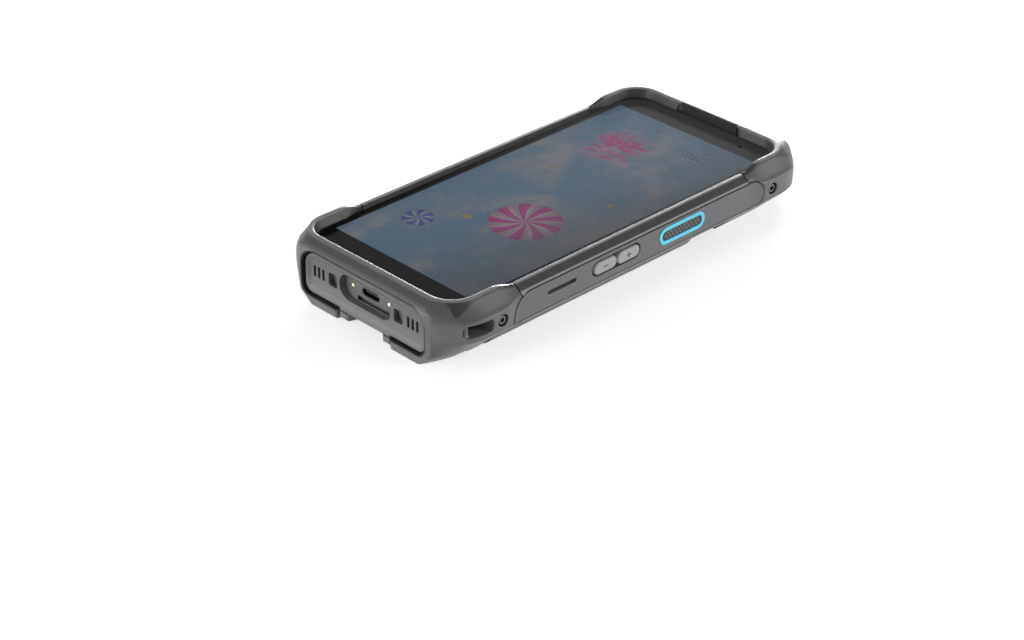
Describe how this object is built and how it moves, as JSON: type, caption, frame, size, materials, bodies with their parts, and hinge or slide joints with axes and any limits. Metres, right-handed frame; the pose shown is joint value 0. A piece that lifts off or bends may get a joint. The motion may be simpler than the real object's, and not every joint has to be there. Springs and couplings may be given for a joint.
{
  "type": "portable barcode data terminal",
  "caption": "Rugged handheld data terminal with a touch screen, corner bumpers, side scan triggers, a scan window in its end and a latched battery pack on its back.",
  "frame": {"origin": "middle of the footprint, on the surface the terminal lies on with its screen up", "axes": "+Z out of the screen, +Y towards the end with the scan window, +X towards the right side as the screen is read"},
  "size_m": [0.088, 0.1826, 0.0247],
  "materials": {
    "bumper_rubber": "soft moulded elastomer, fine grain",
    "rail_plastic": "fine grain",
    "housing_plastic": "fine grain",
    "cover_glass": "polished",
    "display": "lit panel",
    "black_gloss": "gloss",
    "grip_rubber": "hatched",
    "ring_cyan": "satin",
    "trigger_rubber": "knurled",
    "key_grey": "satin",
    "panel_plastic": "fine grain",
    "lens_glass": "coated",
    "steel": "brushed",
    "can_metal": "satin",
    "gold": "polished",
    "silver_contact": "polished",
    "board": "solder mask",
    "cell_foil": "foil",
    "battery_plastic": "fine grain",
    "latch_plastic": "satin",
    "black_plastic": "satin"
  },
  "bodies": {
    "terminal": {"aimer_lens": "lens_glass", "auxiliary_lenses": "lens_glass", "battery_contacts": "black_plastic", "bottom_bumper": "bumper_rubber", "bottom_end_panel": "panel_plastic", "camera_lens": "lens_glass", "camera_module": "black_plastic", "camera_plate": "black_gloss", "card_holder": "steel", "charge_pins": "gold", "contact_block": "black_plastic", "display_panel": "display", "earpiece_mesh": "black_plastic", "earpiece_receiver": "black_plastic", "end_board": "board", "engine_bracket": "can_metal", "flash_lens": "lens_glass", "flash_ring": "steel", "front_camera": "black_gloss", "front_glass": "cover_glass", "left_grip_insert": "grip_rubber", "left_trigger_ring": "ring_cyan", "loudspeaker": "black_plastic", "main_board": "board", "microphone": "can_metal", "mid_frame": "rail_plastic", "power_switch": "black_plastic", "proximity_sensor": "black_gloss", "rear_contacts": "silver_contact", "rear_housing": "housing_plastic", "rear_screws": "steel", "right_grip_insert": "grip_rubber", "right_trigger_ring": "ring_cyan", "scan_engine": "black_plastic", "scan_lens": "lens_glass", "scan_window": "lens_glass", "shield_cans": "can_metal", "side_screws": "steel", "side_switches": "black_plastic", "top_bumper": "bumper_rubber", "top_end_panel": "panel_plastic", "usb_shell": "steel", "usb_tongue": "black_plastic", "vibration_motor": "can_metal"},
    "battery_pack": {"battery_cover": "battery_plastic", "battery_base": "battery_plastic", "battery_cells": "cell_foil", "battery_pads": "gold"},
    "latch": {"battery_latch": "latch_plastic"},
    "right_trigger": {"right_scan_trigger": "trigger_rubber"},
    "left_trigger": {"left_scan_trigger": "trigger_rubber"},
    "volume_up": {"volume_up_key": "key_grey"},
    "volume_down": {"volume_down_key": "key_grey"},
    "power_button": {"power_key": "key_grey"}
  },
  "joints": [
    {"name": "right_trigger_press", "type": "slide", "parent": "terminal", "child": "right_trigger", "axis": [-1, 0, 0], "range_m": [0, 0.0005], "stiffness_N_per_m": 1500, "springref_m": -0.0005},
    {"name": "left_trigger_press", "type": "slide", "parent": "terminal", "child": "left_trigger", "axis": [1, 0, 0], "range_m": [0, 0.0005], "stiffness_N_per_m": 1500, "springref_m": -0.0005},
    {"name": "volume_up_press", "type": "slide", "parent": "terminal", "child": "volume_up", "axis": [-1, 0, 0], "range_m": [0, 0.0004], "stiffness_N_per_m": 1500, "springref_m": -0.0004},
    {"name": "volume_down_press", "type": "slide", "parent": "terminal", "child": "volume_down", "axis": [-1, 0, 0], "range_m": [0, 0.0004], "stiffness_N_per_m": 1500, "springref_m": -0.0004},
    {"name": "power_press", "type": "slide", "parent": "terminal", "child": "power_button", "axis": [0, -1, 0], "range_m": [0, 0.0005], "stiffness_N_per_m": 1500, "springref_m": -0.0004},
    {"name": "latch_slide", "type": "slide", "parent": "terminal", "child": "latch", "axis": [0, 1, 0], "range_m": [-0.0023, 0]},
    {"name": "battery_lift", "type": "slide", "parent": "terminal", "child": "battery_pack", "axis": [0, 0, -1], "range_m": [0, 0.014]}
  ]
}
